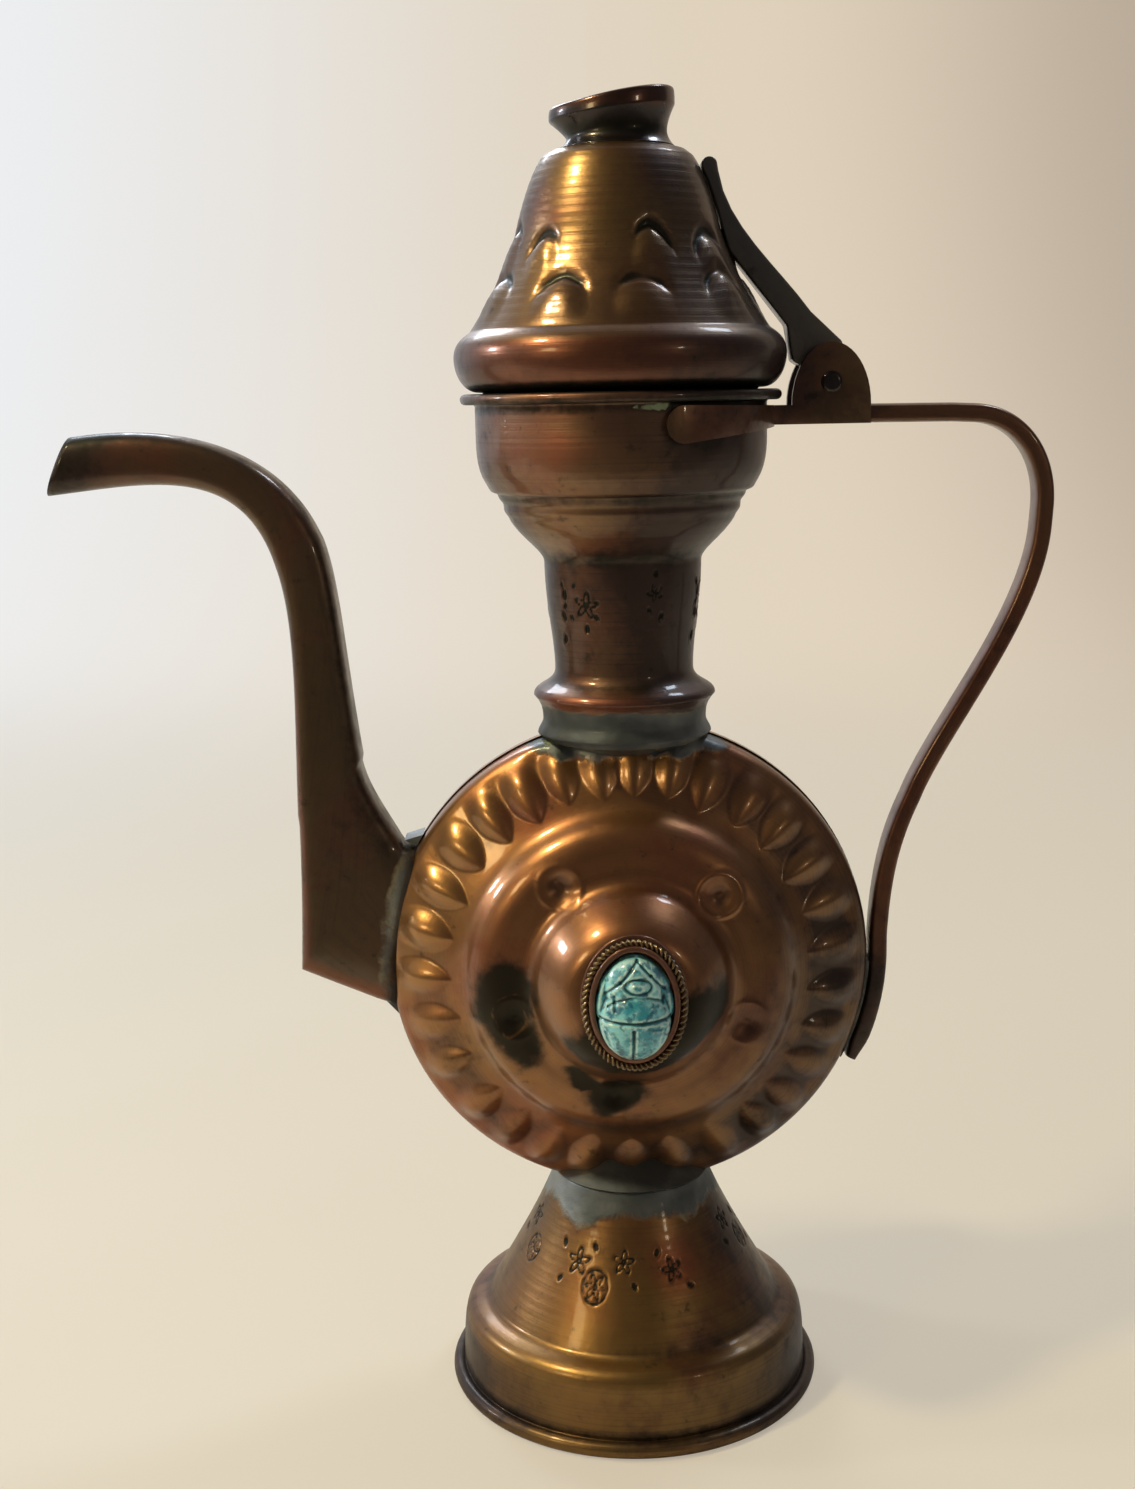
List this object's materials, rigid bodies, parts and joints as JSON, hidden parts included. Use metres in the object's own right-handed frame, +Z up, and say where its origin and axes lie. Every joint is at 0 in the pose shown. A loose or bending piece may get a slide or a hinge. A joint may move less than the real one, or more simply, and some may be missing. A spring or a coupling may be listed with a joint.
{
  "type": "long-necked ewer",
  "caption": "Long-necked metal ewer with a round flask body, curved spout, strap handle, hinged bell lid, spreading foot and a scarab set on the front",
  "frame": {"origin": "centre of the ring that the foot stands on", "axes": "+Z up through the foot, flask, neck and lid; -X towards the spout, +X towards the handle; -Y out of the face that carries the scarab"},
  "size_m": [0.1713, 0.0678, 0.2274],
  "materials": {
    "copper": "worn satin, toned brown",
    "bronze": "worn satin, toned dark",
    "solder": "dull grey tin and lead",
    "faience": "turquoise glaze with dark specks"
  },
  "bodies": {
    "ewer": {"foot": "copper", "foot_solder": "solder", "body_front": "copper", "body_back": "copper", "seam_solder": "solder", "neck_cup": "bronze", "neck_solder": "solder", "spout": "bronze", "spout_solder": "solder", "handle": "copper", "handle_solder": "solder", "bracket_front": "bronze", "bracket_back": "bronze", "hinge_pin": "bronze", "setting": "bronze", "rope_ring": "bronze", "scarab": "faience"},
    "lid": {"lid_bell": "copper", "lid_finial": "bronze", "lid_lever": "bronze"}
  },
  "joints": [
    {"name": "lid_hinge", "type": "hinge", "parent": "ewer", "child": "lid", "pos_m": [0.0352, 0, 0.1793], "axis": [0, 1, 0], "range_deg": [0, 100]}
  ]
}
